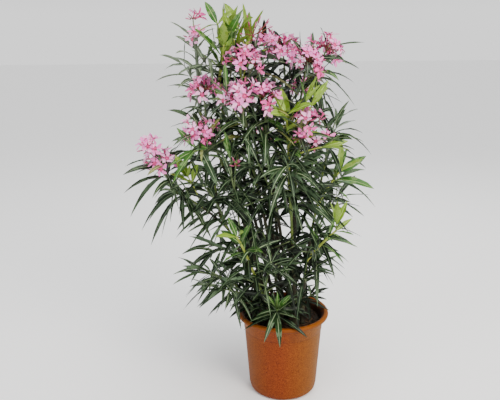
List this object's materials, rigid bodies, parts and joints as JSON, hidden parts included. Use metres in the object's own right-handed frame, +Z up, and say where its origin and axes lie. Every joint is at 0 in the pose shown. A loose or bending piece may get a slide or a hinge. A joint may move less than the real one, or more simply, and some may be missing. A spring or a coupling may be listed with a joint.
{
  "type": "potted oleander",
  "caption": "Flowering oleander shrub: a clump of leafy woody canes with clusters of pink flowers, standing in a tapered plastic pot with a rolled rim.",
  "frame": {"origin": "centre of the pot's flat underside", "axes": "+Z up along the canes, -Y towards the front, +X to the right seen from the front"},
  "size_m": [0.7686, 0.6614, 1.2528],
  "materials": {
    "pot_plastic": "moulded terracotta-coloured plastic, fine speckle",
    "potting_mix": "moist dark potting mix, coarse",
    "bark": "grey-brown bark with lenticels",
    "foliage": "leathery dark green leaves with pale midribs",
    "young_foliage": "soft yellow-green new leaves",
    "flowering_foliage": "leathery green leaves and reddish flower stalks under pink blossom",
    "blossom": "satin pink petals"
  },
  "bodies": {
    "root": {"pot": "pot_plastic", "potting_mix": "potting_mix", "cane_tall_left": "bark", "cane_crest_left": "bark", "cane_crest_right": "bark", "cane_middle": "bark", "cane_middle_right": "bark", "cane_tall_right": "bark", "cane_front_right": "bark", "cane_left_arm": "bark", "cane_right_arm": "bark", "cane_right_low": "bark", "cane_front_left": "bark", "cane_low_left": "bark", "cane_back_left": "bark", "cane_back_right": "bark", "cane_back_middle": "bark", "foot_sprout": "bark", "bough_left_shoulder": "bark", "bough_far_left": "bark", "bough_top_right": "bark", "bough_right_shoulder": "bark", "crest_bloom_left": "flowering_foliage", "crest_young_left": "young_foliage", "crest_young_right": "young_foliage", "upper_left_bloom": "flowering_foliage", "centre_left_bloom": "flowering_foliage", "centre_right_bloom": "flowering_foliage", "upper_middle_bloom": "flowering_foliage", "right_crown_bloom": "flowering_foliage", "far_right_crown_bloom": "flowering_foliage", "right_shoulder_young": "young_foliage", "right_bloom": "flowering_foliage", "right_shoulder": "foliage", "left_shoulder_bloom": "flowering_foliage", "left_arm_bloom": "flowering_foliage", "far_left_bloom": "flowering_foliage", "far_left_under": "foliage", "left_arm_inner": "foliage", "middle_left": "foliage", "middle_front": "foliage", "middle_right": "foliage", "right_arm_young": "young_foliage", "right_low_young": "young_foliage", "right_low": "foliage", "low_left_young": "young_foliage", "low_left": "foliage", "low_left_droop": "foliage", "foot_rosette": "foliage", "low_front": "foliage", "low_middle": "foliage", "back_crest": "flowering_foliage", "back_upper_left": "flowering_foliage", "back_upper_right": "flowering_foliage", "back_left": "foliage", "back_right": "foliage", "back_middle": "flowering_foliage", "back_low_left": "foliage", "back_low_right": "foliage", "back_low": "foliage"}
  },
  "joints": []
}
